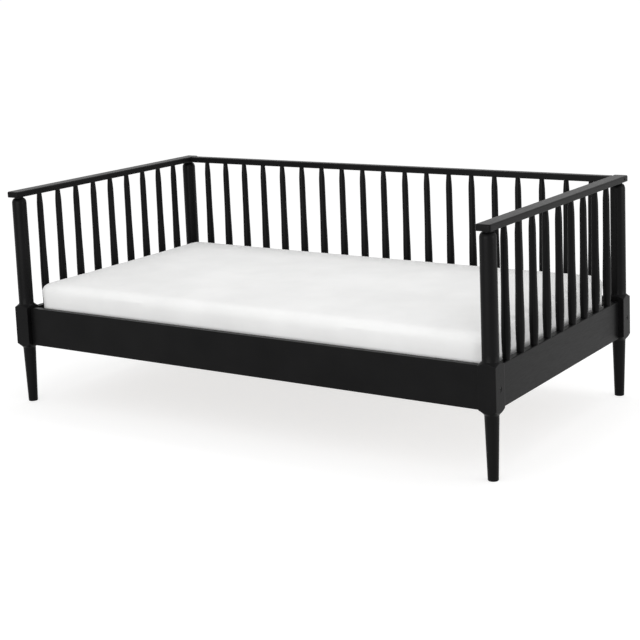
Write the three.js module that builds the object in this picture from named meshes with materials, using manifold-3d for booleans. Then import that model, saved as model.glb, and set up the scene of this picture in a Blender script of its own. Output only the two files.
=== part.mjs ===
// Spindle daybed with a twin mattress, in millimetres.
// +X runs along the seat, -Y is the open front, +Z is up, and the floor is z = 0.
// The origin is on the floor, midway between the four posts.

import * as THREE from 'three';
import { mergeVertices } from 'three/addons/utils/BufferGeometryUtils.js';
import Module from 'manifold-3d';

const wasm = await Module();
wasm.setup();
const { Manifold, Mesh } = wasm;

// Driving sizes: the mattress, which the frame is built round, and the heights
const MATTRESS_LENGTH = 1884;
const MATTRESS_WIDTH = 974;
const MATTRESS_TO_ARM = 2;
const MATTRESS_TO_TOP_RAIL = 1.5;
const ARM_TOP_Z = 803;
const RAIL_BOTTOM_Z = 221;
const LONG_RAIL_HEIGHT = 141;
const SIDE_RAIL_DROP = 6;
const SIDE_RAIL_HEIGHT = 138;
const LONG_RAIL_THICKNESS = 25;
const SIDE_RAIL_THICKNESS = 25;

// Posts: a turned leg, a square block at the rails, a turned column and a neck
const BLOCK_WIDTH = 62;
const BLOCK_TOP_RISE = 1;
const BLOCK_BOTTOM_RISE = 8;
const LEG_SHOULDER_HEIGHT = 22;
const COLUMN_SHOULDER_HEIGHT = 15;
const SHOULDER_HOLLOW = 1.4;
const FOOT_RADIUS = 17.3;
const FOOT_BASE_RADIUS = 15.5;
const FOOT_EDGE = 3;
const LEG_TOP_RADIUS = 23.4;
const COLUMN_BOTTOM_RADIUS = 27.2;
const COLUMN_TOP_RADIUS = 26.6;
const NECK_RADIUS = 16.4;
const NECK_HEIGHT = 6;
const NECK_SHOULDER = 18;
const POST_TENON_RADIUS = 12.5;
const POST_TENON_DEPTH = 15;
const POST_SIDES = 20;

// Arms and the top rail of the back
const ARM_WIDTH = 52;
const ARM_THICKNESS = 22;
const ARM_OVERHANG = 35;
const ARM_CORNER = 8;
const TOP_RAIL_DEPTH = 33;
const TOP_RAIL_THICKNESS = 23;
const TOP_EDGE_ROUND = 5;
const BOTTOM_EDGE_ROUND = 3;
const RAIL_EDGE_ROUND = 2.5;

// Spindles, between the rails and the arms or the top rail
const BACK_SPINDLES = 19;
const BACK_SPINDLE_START = 100.5;
const SIDE_SPINDLES = 9;
const SIDE_SPINDLE_START = 106.4;
const SPINDLE_FOOT_RADIUS = 12.9;
const SPINDLE_SWELL_RADIUS = 15;
const SPINDLE_BODY_RADIUS = 12.8;
const SPINDLE_SHOULDER_RADIUS = 11.9;
const SPINDLE_TOP_RADIUS = 8.7;
const SWELL_HEIGHT = 83;
const SPINDLE_SHOULDER_DROP = 50;
const UPPER_TENON_RADIUS = 6.5;
const UPPER_TENON_DEPTH = 13;
const LOWER_TENON_RADIUS = 8;
const LOWER_TENON_DEPTH = 20;
const SPINDLE_SIDES = 8;

// Rail ends: glued tenons on the side rails, shallow bolted ones on the long rails
const SIDE_TENON_THICKNESS = 10;
const SIDE_TENON_LENGTH = 24;
const LONG_TENON_THICKNESS = 18;
const LONG_TENON_LENGTH = 8;
const TENON_SHOULDER = 15;

// Connector bolts with flat socket heads
const BOLT_RADIUS = 3;
const BOLT_HEAD_RADIUS = 8;
const BOLT_HEAD_THICKNESS = 3;
const BOLT_HEAD_RECESS = 1;
const SOCKET_RADIUS = 2.9;
const SOCKET_DEPTH = 2;
const SOCKET_SIDES = 6;
const BOLT_GRIP = 45;
const ARM_BOLT_HEAD_RADIUS = 5.5;
const BOLT_SIDES = 12;

// Bed base: a cleat inside each long rail, and a roll of slats on webbing
const CLEAT_WIDTH = 22;
const CLEAT_HEIGHT = 25;
const CLEAT_ABOVE_RAIL_BOTTOM = 8;
const CLEAT_END_GAP = 34;
const SLAT_COUNT = 14;
const SLAT_WIDTH = 70;
const SLAT_THICKNESS = 18;
const SLAT_INSET = 15;
const SLAT_END_GAP = 3;
const WEBBING_WIDTH = 25;
const WEBBING_THICKNESS = 1.6;
const WEBBING_BEDDED = 0.4;
const WEBBING_INSET = 157;

// Mattress height and form
const MATTRESS_EDGE_HEIGHT = 177;
const MATTRESS_CROWN = 7;
const MATTRESS_CORNER = 45;
const MATTRESS_CORNER_LEAST = 20;
const MATTRESS_CORNER_TIGHTENING = 0.5;
const MATTRESS_EDGE_ROUND = 28;
const MATTRESS_WAIST = 3.5;
const MATTRESS_BOW = 5;

// Clearances between pieces
const FIT = 0.3;
const BOLT_HOLE_CLEARANCE = 0.3;
const TENON_END_GAP = 0.5;

// How far a cutting solid runs past the face it cuts
const OVERRUN = 1;

// Heights and places that follow from the sizes above. The posts stand just far enough
// apart for the mattress to lift out past the arms and the back's top rail.
const postSpanX = MATTRESS_LENGTH + 2 * MATTRESS_TO_ARM + ARM_WIDTH;
const postSpanY = MATTRESS_WIDTH + 2 * MATTRESS_TO_TOP_RAIL + TOP_RAIL_DEPTH;
const halfX = postSpanX / 2;
const halfY = postSpanY / 2;
const backPitch = (postSpanX - 2 * BACK_SPINDLE_START) / (BACK_SPINDLES - 1);
const sidePitch = (postSpanY - 2 * SIDE_SPINDLE_START) / (SIDE_SPINDLES - 1);
const halfBlock = BLOCK_WIDTH / 2;
const longRailTop = RAIL_BOTTOM_Z + LONG_RAIL_HEIGHT;
const sideRailTop = longRailTop - SIDE_RAIL_DROP;
const sideRailBottom = sideRailTop - SIDE_RAIL_HEIGHT;
const armBottom = ARM_TOP_Z - ARM_THICKNESS;
const topRailBottom = ARM_TOP_Z - TOP_RAIL_THICKNESS;
const blockTop = longRailTop + BLOCK_TOP_RISE;
const blockBottom = RAIL_BOTTOM_Z + BLOCK_BOTTOM_RISE;
const legTop = blockBottom - LEG_SHOULDER_HEIGHT;
const columnBottom = blockTop + COLUMN_SHOULDER_HEIGHT;
const railBoltZ = RAIL_BOTTOM_Z + LONG_RAIL_HEIGHT / 2;
const armBoltZ = armBottom + ARM_THICKNESS / 2;
const cleatTop = RAIL_BOTTOM_Z + CLEAT_ABOVE_RAIL_BOTTOM + CLEAT_HEIGHT;
const slatBottom = cleatTop + FIT;
const deckTop = slatBottom + SLAT_THICKNESS;
const railInnerY = halfY - LONG_RAIL_THICKNESS / 2;
const corners = [
  { name: 'front_left', sx: -1, sy: -1 },
  { name: 'front_right', sx: 1, sy: -1 },
  { name: 'back_right', sx: 1, sy: 1 },
  { name: 'back_left', sx: -1, sy: 1 },
];

const blackPaint = new THREE.MeshStandardMaterial({ color: 0x1b1b1c, roughness: 0.45, metalness: 0 });
const bareWood = new THREE.MeshStandardMaterial({ color: 0xc9a678, roughness: 0.7, metalness: 0 });
const blackSteel = new THREE.MeshStandardMaterial({ color: 0x2a2a2c, roughness: 0.35, metalness: 0.9 });
const whiteKnit = new THREE.MeshStandardMaterial({ color: 0xeeeeec, roughness: 0.9, metalness: 0 });

const daybed = new THREE.Group();
daybed.name = 'daybed';

// A geometry with shared corners and without the zero-area faces at the poles
function welded(geometry) {
  const bare = geometry.clone();
  bare.deleteAttribute('normal');
  bare.deleteAttribute('uv');
  const merged = mergeVertices(bare, 1e-4);
  const from = merged.index.array;
  const kept = [];
  for (let i = 0; i < from.length; i += 3) {
    const [a, b, c] = [from[i], from[i + 1], from[i + 2]];
    if (a !== b && b !== c && c !== a) kept.push(a, b, c);
  }
  merged.setIndex(kept);
  return merged;
}

function toSolid(geometry) {
  const merged = welded(geometry);
  const vertProperties = new Float32Array(merged.attributes.position.array);
  const triVerts = new Uint32Array(merged.index.array);
  return new Manifold(new Mesh({ numProp: 3, vertProperties, triVerts }));
}

function toGeometry(solid) {
  const { vertProperties, triVerts } = solid.getMesh();
  const geometry = new THREE.BufferGeometry();
  geometry.setAttribute('position', new THREE.BufferAttribute(new Float32Array(vertProperties), 3));
  geometry.setIndex(Array.from(triVerts));
  geometry.computeVertexNormals();
  return geometry;
}

function addPiece(name, shape, material, position = [0, 0, 0]) {
  const geometry = shape instanceof THREE.BufferGeometry ? welded(shape) : toGeometry(shape);
  geometry.computeVertexNormals();
  const piece = new THREE.Mesh(geometry, material);
  piece.name = name;
  piece.position.set(...position);
  daybed.add(piece);
}

// A solid of revolution about +Z from [radius, z] pairs, closed on its axis
function turned(profile, sides) {
  const first = profile[0];
  const last = profile[profile.length - 1];
  const closed = [[0, first[1]], ...profile, [0, last[1]]];
  const points = closed.map(([radius, z]) => new THREE.Vector2(radius, z));
  return new THREE.LatheGeometry(points, sides).rotateX(Math.PI / 2);
}

function box(lengthX, lengthY, lengthZ, x, y, z) {
  return new THREE.BoxGeometry(lengthX, lengthY, lengthZ).translate(x, y, z);
}

// A round hole or pin along X, from x0 to x1
function rod(radius, x0, x1, y, z, sides) {
  const shape = new THREE.CylinderGeometry(radius, radius, Math.abs(x1 - x0), sides);
  return shape.rotateZ(Math.PI / 2).translate((x0 + x1) / 2, y, z);
}

// A board's cross-section: a rectangle about the middle with rounded corners
function boardSection(width, height, topRound, bottomRound, steps = 3) {
  const section = new THREE.Shape();
  const right = width / 2;
  const top = height / 2;
  section.absarc(right - topRound, top - topRound, topRound, 0, Math.PI / 2, false);
  section.absarc(-right + topRound, top - topRound, topRound, Math.PI / 2, Math.PI, false);
  section.absarc(-right + bottomRound, -top + bottomRound, bottomRound, Math.PI, Math.PI * 1.5, false);
  section.absarc(right - bottomRound, -top + bottomRound, bottomRound, Math.PI * 1.5, Math.PI * 2, false);
  return new THREE.Shape(section.extractPoints(steps).shape);
}

// A board of that section whose length runs along X or Y, centred on its place
function board(length, section, along, x, y, z) {
  const shape = new THREE.ExtrudeGeometry(section, { depth: length, bevelEnabled: false, curveSegments: 1 });
  shape.translate(0, 0, -length / 2).rotateX(Math.PI / 2);
  if (along === 'x') shape.rotateZ(Math.PI / 2);
  return shape.translate(x, y, z);
}

function backSpindleX(index) {
  return (index - (BACK_SPINDLES - 1) / 2) * backPitch;
}

function sideSpindleY(index) {
  return (index - (SIDE_SPINDLES - 1) / 2) * sidePitch;
}

// A blind hole for a round tenon, open at its mouth and with room at its end
function tenonHole(radius, mouthZ, depth, x, y, sides) {
  const inward = Math.sign(depth);
  const outerEnd = mouthZ - inward * OVERRUN;
  const innerEnd = mouthZ + depth + inward * TENON_END_GAP;
  const low = Math.min(outerEnd, innerEnd);
  const high = Math.max(outerEnd, innerEnd);
  const reach = radius + FIT;
  return toSolid(turned([[reach, low], [reach, high]], sides).translate(x, y, 0));
}

// A connector bolt along X whose head sits in the outer face and points inwards
function boltParts(sx, outerX, y, z, reach, headRadius) {
  const headOuter = outerX - sx * BOLT_HEAD_RECESS;
  const headInner = headOuter - sx * BOLT_HEAD_THICKNESS;
  const tip = outerX - sx * reach;
  const shank = toSolid(rod(BOLT_RADIUS, headInner + sx * OVERRUN, tip, y, z, BOLT_SIDES));
  const head = toSolid(rod(headRadius, headInner, headOuter, y, z, BOLT_SIDES));
  const socketFloor = headOuter - sx * SOCKET_DEPTH;
  const socket = toSolid(rod(SOCKET_RADIUS, headOuter + sx * OVERRUN, socketFloor, y, z, SOCKET_SIDES));
  const holeRadius = BOLT_RADIUS + BOLT_HOLE_CLEARANCE;
  const holeTip = tip - sx * TENON_END_GAP;
  const hole = toSolid(rod(holeRadius, outerX + sx * OVERRUN, holeTip, y, z, BOLT_SIDES));
  const seatFloor = headInner - sx * FIT;
  const seat = toSolid(rod(headRadius + FIT, outerX + sx * OVERRUN, seatFloor, y, z, BOLT_SIDES));
  return { bolt: shank.add(head).subtract(socket), hole: hole.add(seat) };
}

// The bolts: one through each post block, one through each arm at the back
const blockFaceX = halfX + halfBlock;
const armFaceX = halfX + ARM_WIDTH / 2;
const railBolts = corners.map(({ sx, sy }) => (
  boltParts(sx, sx * blockFaceX, sy * halfY, railBoltZ, BLOCK_WIDTH + BOLT_GRIP, BOLT_HEAD_RADIUS)
));
const armBolts = [-1, 1].map((sx) => (
  boltParts(sx, sx * armFaceX, halfY, armBoltZ, ARM_WIDTH + BOLT_GRIP, ARM_BOLT_HEAD_RADIUS)
));

// Post profile: each hollow shoulder flares from a round part out to the square stock's corners
const blockCorner = Math.hypot(halfBlock, halfBlock) + OVERRUN;
function shoulder(fromRadius, fromZ, toZ) {
  const steps = 4;
  const rise = blockCorner - fromRadius;
  return Array.from({ length: steps }, (_, i) => {
    const t = (i + 1) / steps;
    return [fromRadius + rise * t ** SHOULDER_HOLLOW, fromZ + (toZ - fromZ) * t];
  });
}

const neckBottom = armBottom - NECK_HEIGHT;
const columnTop = neckBottom - NECK_SHOULDER;
const neckDrop = COLUMN_TOP_RADIUS - NECK_RADIUS;
const neckArc = [1 / 3, 2 / 3, 1].map((t) => {
  const angle = t * Math.PI / 2;
  return [COLUMN_TOP_RADIUS - neckDrop * (1 - Math.cos(angle)), columnTop + NECK_SHOULDER * Math.sin(angle)];
});
const postProfile = [
  [FOOT_BASE_RADIUS, 0],
  [FOOT_RADIUS, FOOT_EDGE],
  [LEG_TOP_RADIUS, legTop],
  ...shoulder(LEG_TOP_RADIUS, legTop, blockBottom),
  ...shoulder(COLUMN_BOTTOM_RADIUS, columnBottom, blockTop).reverse(),
  [COLUMN_BOTTOM_RADIUS, columnBottom],
  [COLUMN_TOP_RADIUS, columnTop],
  ...neckArc,
  [NECK_RADIUS, armBottom - FIT],
  [POST_TENON_RADIUS, armBottom - FIT],
  [POST_TENON_RADIUS, armBottom + POST_TENON_DEPTH],
];

const sideTenonHeight = SIDE_RAIL_HEIGHT - 2 * TENON_SHOULDER;
const longTenonHeight = LONG_RAIL_HEIGHT - 2 * TENON_SHOULDER;
const sideRailMiddle = (sideRailBottom + sideRailTop) / 2;

// One post, turned from square stock, mortised on two faces and bored for its bolt
function makePost({ sx, sy }, railBolt) {
  const x = sx * halfX;
  const y = sy * halfY;
  const turning = toSolid(turned(postProfile, POST_SIDES).translate(x, y, 0));
  const stock = toSolid(box(BLOCK_WIDTH, BLOCK_WIDTH, 2 * ARM_TOP_Z, x, y, ARM_TOP_Z / 2));
  const sideDepth = SIDE_TENON_LENGTH + TENON_END_GAP;
  const sideMortise = toSolid(box(
    SIDE_TENON_THICKNESS + 2 * FIT, 2 * sideDepth, sideTenonHeight + 2 * FIT,
    x, y - sy * halfBlock, sideRailMiddle,
  ));
  const longDepth = LONG_TENON_LENGTH + TENON_END_GAP;
  const longMortise = toSolid(box(
    2 * longDepth, LONG_TENON_THICKNESS + 2 * FIT, longTenonHeight + 2 * FIT,
    x - sx * halfBlock, y, railBoltZ,
  ));
  let post = turning.intersect(stock).subtract(sideMortise).subtract(longMortise);
  post = post.subtract(railBolt.hole);
  if (sy > 0) post = post.subtract(armBolts[sx > 0 ? 1 : 0].hole);
  return post;
}

corners.forEach((corner, i) => addPiece(`${corner.name}_post`, makePost(corner, railBolts[i]), blackPaint));

// An arm: a board with rounded edges and corners, bored from below
function makeArm(sx) {
  const x = sx * halfX;
  const length = postSpanY + 2 * ARM_OVERHANG;
  const section = boardSection(ARM_WIDTH, ARM_THICKNESS, TOP_EDGE_ROUND, BOTTOM_EDGE_ROUND);
  const plan = boardSection(ARM_WIDTH, length, ARM_CORNER, ARM_CORNER);
  const planBlock = new THREE.ExtrudeGeometry(plan, { depth: 2 * ARM_THICKNESS, bevelEnabled: false });
  planBlock.translate(x, 0, armBottom - ARM_THICKNESS / 2);
  let arm = toSolid(board(length, section, 'y', x, 0, armBoltZ)).intersect(toSolid(planBlock));
  for (let i = 0; i < SIDE_SPINDLES; i += 1) {
    arm = arm.subtract(tenonHole(
      UPPER_TENON_RADIUS, armBottom, UPPER_TENON_DEPTH, x, sideSpindleY(i), SPINDLE_SIDES,
    ));
  }
  for (const y of [-halfY, halfY]) {
    arm = arm.subtract(tenonHole(POST_TENON_RADIUS, armBottom, POST_TENON_DEPTH, x, y, POST_SIDES));
  }
  return arm.subtract(armBolts[sx > 0 ? 1 : 0].hole);
}

addPiece('left_arm', makeArm(-1), blackPaint);
addPiece('right_arm', makeArm(1), blackPaint);

// The back's top rail, between the arms, bored from below and at its ends
const topRailLength = postSpanX - ARM_WIDTH - 2 * FIT;
const topRailSection = boardSection(
  TOP_RAIL_DEPTH, TOP_RAIL_THICKNESS, TOP_EDGE_ROUND, BOTTOM_EDGE_ROUND,
);
const topRailMiddle = (ARM_TOP_Z + topRailBottom) / 2;
let topRail = toSolid(board(topRailLength, topRailSection, 'x', 0, halfY, topRailMiddle));
for (let i = 0; i < BACK_SPINDLES; i += 1) {
  topRail = topRail.subtract(tenonHole(
    UPPER_TENON_RADIUS, topRailBottom, UPPER_TENON_DEPTH, backSpindleX(i), halfY, SPINDLE_SIDES,
  ));
}
armBolts.forEach(({ hole }) => {
  topRail = topRail.subtract(hole);
});
addPiece('back_top_rail', topRail, blackPaint);

// The long rails, front and back, with a shallow tenon and a bolt hole at each end
function makeLongRail(sy) {
  const y = sy * halfY;
  const length = postSpanX - BLOCK_WIDTH - 2 * FIT;
  const section = boardSection(LONG_RAIL_THICKNESS, LONG_RAIL_HEIGHT, RAIL_EDGE_ROUND, RAIL_EDGE_ROUND, 2);
  let rail = toSolid(board(length, section, 'x', 0, y, railBoltZ));
  const tenonReach = length + 2 * LONG_TENON_LENGTH;
  rail = rail.add(toSolid(box(tenonReach, LONG_TENON_THICKNESS, longTenonHeight, 0, y, railBoltZ)));
  corners.forEach((corner, i) => {
    if (corner.sy === sy) rail = rail.subtract(railBolts[i].hole);
  });
  return rail;
}

addPiece('front_rail', makeLongRail(-1), blackPaint);
let backRail = makeLongRail(1);
for (let i = 0; i < BACK_SPINDLES; i += 1) {
  backRail = backRail.subtract(tenonHole(
    LOWER_TENON_RADIUS, longRailTop, -LOWER_TENON_DEPTH, backSpindleX(i), halfY, SPINDLE_SIDES,
  ));
}
addPiece('back_rail', backRail, blackPaint);

// A side rail, glued into its two posts and bored on top for the spindles
function makeSideRail(sx) {
  const x = sx * halfX;
  const length = postSpanY - BLOCK_WIDTH - 2 * FIT;
  const section = boardSection(SIDE_RAIL_THICKNESS, SIDE_RAIL_HEIGHT, RAIL_EDGE_ROUND, RAIL_EDGE_ROUND, 2);
  let rail = toSolid(board(length, section, 'y', x, 0, sideRailMiddle));
  const tenonReach = length + 2 * SIDE_TENON_LENGTH;
  rail = rail.add(toSolid(box(SIDE_TENON_THICKNESS, tenonReach, sideTenonHeight, x, 0, sideRailMiddle)));
  for (let i = 0; i < SIDE_SPINDLES; i += 1) {
    rail = rail.subtract(tenonHole(
      LOWER_TENON_RADIUS, sideRailTop, -LOWER_TENON_DEPTH, x, sideSpindleY(i), SPINDLE_SIDES,
    ));
  }
  return rail;
}

addPiece('left_side_rail', makeSideRail(-1), blackPaint);
addPiece('right_side_rail', makeSideRail(1), blackPaint);

// A spindle between two heights: swollen low down, slim under the top, tenoned at both ends
function makeSpindle(bottomZ, topZ) {
  const foot = bottomZ + FIT;
  const head = topZ - FIT;
  const bodyZ = (foot + SWELL_HEIGHT + head - SPINDLE_SHOULDER_DROP) / 2;
  return turned([
    [LOWER_TENON_RADIUS, bottomZ - LOWER_TENON_DEPTH],
    [LOWER_TENON_RADIUS, foot],
    [SPINDLE_FOOT_RADIUS, foot],
    [SPINDLE_SWELL_RADIUS, foot + SWELL_HEIGHT],
    [SPINDLE_BODY_RADIUS, bodyZ],
    [SPINDLE_SHOULDER_RADIUS, head - SPINDLE_SHOULDER_DROP],
    [SPINDLE_TOP_RADIUS, head],
    [UPPER_TENON_RADIUS, head],
    [UPPER_TENON_RADIUS, topZ + UPPER_TENON_DEPTH],
  ], SPINDLE_SIDES);
}

const backSpindle = makeSpindle(longRailTop, topRailBottom);
for (let i = 0; i < BACK_SPINDLES; i += 1) {
  addPiece(`back_spindle_${i + 1}`, backSpindle, blackPaint, [backSpindleX(i), halfY, 0]);
}
const sideSpindle = makeSpindle(sideRailTop, armBottom);
for (let i = 0; i < SIDE_SPINDLES; i += 1) {
  addPiece(`left_spindle_${i + 1}`, sideSpindle, blackPaint, [-halfX, sideSpindleY(i), 0]);
  addPiece(`right_spindle_${i + 1}`, sideSpindle, blackPaint, [halfX, sideSpindleY(i), 0]);
}

corners.forEach(({ name }, i) => addPiece(`${name}_rail_bolt`, railBolts[i].bolt, blackSteel));
addPiece('left_arm_bolt', armBolts[0].bolt, blackSteel);
addPiece('right_arm_bolt', armBolts[1].bolt, blackSteel);

// The cleats that carry the slats, screwed inside the long rails
const cleatLength = postSpanX - BLOCK_WIDTH - 2 * CLEAT_END_GAP;
const cleatY = railInnerY - FIT - CLEAT_WIDTH / 2;
for (const [name, sy] of [['front_cleat', -1], ['back_cleat', 1]]) {
  const cleat = box(cleatLength, CLEAT_WIDTH, CLEAT_HEIGHT, 0, sy * cleatY, cleatTop - CLEAT_HEIGHT / 2);
  addPiece(name, cleat, bareWood);
}

// The slats, joined underneath by two strips of webbing into one roll
const slatLength = 2 * (railInnerY - SLAT_END_GAP);
const slatMiddle = slatBottom + SLAT_THICKNESS / 2;
const slatPitch = (cleatLength - 2 * SLAT_INSET - SLAT_WIDTH) / (SLAT_COUNT - 1);
const webbingLength = (SLAT_COUNT - 1) * slatPitch + SLAT_WIDTH / 2;
const webbingY = slatLength / 2 - WEBBING_INSET;
const webbingZ = slatBottom + WEBBING_BEDDED - WEBBING_THICKNESS / 2;
const webbing = (y) => toSolid(box(webbingLength, WEBBING_WIDTH, WEBBING_THICKNESS, 0, y, webbingZ));
let slatRoll = webbing(-webbingY).add(webbing(webbingY));
for (let i = 0; i < SLAT_COUNT; i += 1) {
  const x = (i - (SLAT_COUNT - 1) / 2) * slatPitch;
  slatRoll = slatRoll.add(toSolid(box(SLAT_WIDTH, slatLength, SLAT_THICKNESS, x, 0, slatMiddle)));
}
addPiece('slat_roll', slatRoll, bareWood);

// The mattress is a stack of rings. Each ring is a rounded rectangle drawn in from the
// full plan by an inset, with its straight sides bowed inwards between the corners.
function mattressRing(inset, z) {
  const halfLength = MATTRESS_LENGTH / 2 - inset;
  const halfWidth = MATTRESS_WIDTH / 2 - inset;
  const corner = Math.max(MATTRESS_CORNER - inset * MATTRESS_CORNER_TIGHTENING, MATTRESS_CORNER_LEAST);
  const straightX = halfLength - corner;
  const straightY = halfWidth - corner;
  const bow = (along, straight) => MATTRESS_BOW * (1 - (along / straight) ** 2);
  const ring = [];
  const cornerSteps = 5;
  const sides = [
    { sx: 1, sy: -1, start: -Math.PI / 2, steps: 4, alongY: true },
    { sx: 1, sy: 1, start: 0, steps: 8, alongY: false },
    { sx: -1, sy: 1, start: Math.PI / 2, steps: 4, alongY: true },
    { sx: -1, sy: -1, start: Math.PI, steps: 8, alongY: false },
  ];
  for (const { sx, sy, start, steps, alongY } of sides) {
    for (let i = 0; i <= cornerSteps; i += 1) {
      const angle = start + (i / cornerSteps) * (Math.PI / 2);
      const x = sx * straightX + corner * Math.cos(angle);
      const y = sy * straightY + corner * Math.sin(angle);
      ring.push([x, y, z]);
    }
    for (let i = 1; i < steps; i += 1) {
      const t = 1 - (2 * i) / steps;
      const along = alongY ? sy * straightY * t : sx * straightX * t;
      if (alongY) ring.push([sx * (halfLength - bow(along, straightY)), along, z]);
      else ring.push([along, sy * (halfWidth - bow(along, straightX)), z]);
    }
  }
  return ring;
}

// Ring insets and heights: bottom edge, waisted side, top edge, then the crown
function mattressRings() {
  const bottom = deckTop + FIT;
  const edgeTop = bottom + MATTRESS_EDGE_HEIGHT;
  const round = MATTRESS_EDGE_ROUND;
  const rings = [];
  for (const t of [0, 0.33, 0.66, 1]) {
    const angle = t * Math.PI / 2;
    rings.push([round * (1 - Math.sin(angle)), bottom + round * (1 - Math.cos(angle))]);
  }
  for (const t of [0.25, 0.5, 0.75]) {
    const height = bottom + round + (MATTRESS_EDGE_HEIGHT - 2 * round) * t;
    rings.push([MATTRESS_WAIST * Math.sin(t * Math.PI), height]);
  }
  for (const t of [0, 0.33, 0.66, 1]) {
    const angle = t * Math.PI / 2;
    rings.push([round * (1 - Math.cos(angle)), edgeTop - round * (1 - Math.sin(angle))]);
  }
  const reach = MATTRESS_WIDTH / 2 - 3 * round;
  for (const t of [0.2, 0.5, 1]) {
    rings.push([round + (reach - round) * t, edgeTop + MATTRESS_CROWN * Math.sin(t * Math.PI / 2)]);
  }
  return rings.map(([inset, z]) => mattressRing(inset, z));
}

function stackedRings(rings) {
  const count = rings[0].length;
  const centre = (ring) => [0, 0, ring[0][2]];
  const vertices = [...rings.flat(), centre(rings[0]), centre(rings[rings.length - 1])];
  const faces = [];
  for (let k = 0; k + 1 < rings.length; k += 1) {
    for (let i = 0; i < count; i += 1) {
      const j = (i + 1) % count;
      const [a, b, c, d] = [k * count + i, k * count + j, (k + 1) * count + j, (k + 1) * count + i];
      faces.push(a, b, c, a, c, d);
    }
  }
  const bottomCentre = rings.length * count;
  const topStart = (rings.length - 1) * count;
  for (let i = 0; i < count; i += 1) {
    const j = (i + 1) % count;
    faces.push(bottomCentre, j, i, bottomCentre + 1, topStart + i, topStart + j);
  }
  const geometry = new THREE.BufferGeometry();
  geometry.setAttribute('position', new THREE.Float32BufferAttribute(vertices.flat(), 3));
  geometry.setIndex(faces);
  return geometry;
}

addPiece('mattress', stackedRings(mattressRings()), whiteKnit);

export default daybed;
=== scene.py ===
# A spindle daybed in black paint, with a thick white mattress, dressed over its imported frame.
# Metres throughout: +X along the seat, -Y the open front, +Z up, and the floor at z = 0.

import math
import bpy
import numpy as np
from mathutils import Matrix, Vector


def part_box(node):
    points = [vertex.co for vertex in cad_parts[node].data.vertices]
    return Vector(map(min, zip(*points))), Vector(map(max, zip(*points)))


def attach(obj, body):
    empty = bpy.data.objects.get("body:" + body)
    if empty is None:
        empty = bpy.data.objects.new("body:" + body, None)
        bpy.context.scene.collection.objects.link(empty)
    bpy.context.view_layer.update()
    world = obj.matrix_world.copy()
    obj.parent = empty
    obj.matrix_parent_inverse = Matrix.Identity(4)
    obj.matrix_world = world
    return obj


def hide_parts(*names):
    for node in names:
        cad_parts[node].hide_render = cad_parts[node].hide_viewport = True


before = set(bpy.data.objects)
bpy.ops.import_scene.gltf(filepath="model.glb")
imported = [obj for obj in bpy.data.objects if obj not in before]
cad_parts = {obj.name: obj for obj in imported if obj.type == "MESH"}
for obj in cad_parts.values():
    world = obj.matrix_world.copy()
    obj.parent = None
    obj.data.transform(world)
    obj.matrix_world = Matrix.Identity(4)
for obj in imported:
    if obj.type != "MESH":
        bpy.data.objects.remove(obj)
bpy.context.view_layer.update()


# Corner posts. Each is one length of hard maple, turned below and above but left square where
# the rails meet it, and sprayed black. Where the cutting began, the square runs out in round
# shoulders. The outer face of each block is counterbored for its bolt.
POST_SQUARE = 0.062
POST_CORNER_SHARPNESS = 44
POST_STEPS_AROUND = 112
CORNER_CROWDING = 0.7
CORNER_OVERRUN = 0.003
LEG_SHOULDER_RISE = 0.022
COLUMN_SHOULDER_RISE = 0.015
SHOULDER_HOLLOW = 1.4
LEG_FOOT_RADIUS = 0.0173
LEG_FOOT_BASE_RADIUS = 0.0155
LEG_FOOT_EDGE = 0.003
LEG_TOP_RADIUS = 0.0234
COLUMN_BASE_RADIUS = 0.0272
COLUMN_TOP_RADIUS = 0.0266
NECK_RADIUS = 0.0164
NECK_SHOULDER = 0.018
NECK_HEIGHT = 0.006
NECK_TO_ARM = 0.0001
BLOCK_TOP_RISE = 0.001
BLOCK_BOTTOM_RISE = 0.008
CREASE_SOFTNESS = 0.0008
BOLT_SEAT_RADIUS = 0.0083
BOLT_SEAT_DEPTH = 0.0043
SEAT_CHAMFER = 0.0005
SEAT_CHAMFER_DEPTH = 0.0004
DRILL_OVERRUN = 0.004
BOLT_SEAT_STEPS_AROUND = 48
SMOOTH_ANGLE = math.radians(34)

CORNER_SIDES = {"front_left": -1, "front_right": 1, "back_right": 1, "back_left": -1}
arm_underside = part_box("left_arm")[0].z
block_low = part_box("front_rail")[0].z + BLOCK_BOTTOM_RISE
long_rail_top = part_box("front_rail")[1].z
block_top = long_rail_top + BLOCK_TOP_RISE


def closed_surface(name, loops):
    """A closed mesh from an array of loops of points. Each loop is joined to the next by four-sided
    faces, and the first and the last are closed by triangles to the mean of their own points."""
    count, around = loops.shape[:2]
    points = np.vstack([loops.reshape(-1, 3), loops[0].mean(0), loops[-1].mean(0)])
    here = np.arange(around)
    after = (here + 1) % around
    row = (np.arange(count - 1) * around)[:, None]
    sides = np.stack([row + here, row + after, row + around + after, row + around + here], -1)
    last = (count - 1) * around
    first_pole = np.full(around, count * around)
    first_fan = np.stack([first_pole, after, here], -1)
    last_fan = np.stack([first_pole + 1, last + here, last + after], -1)
    mesh = bpy.data.meshes.new(name)
    mesh.from_pydata(points, [], sides.reshape(-1, 4).tolist() + first_fan.tolist() + last_fan.tolist())
    mesh.shade_smooth()
    mesh.set_sharp_from_angle(angle=SMOOTH_ANGLE)
    piece = bpy.data.objects.new(name, mesh)
    bpy.context.scene.collection.objects.link(piece)
    return piece


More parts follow.
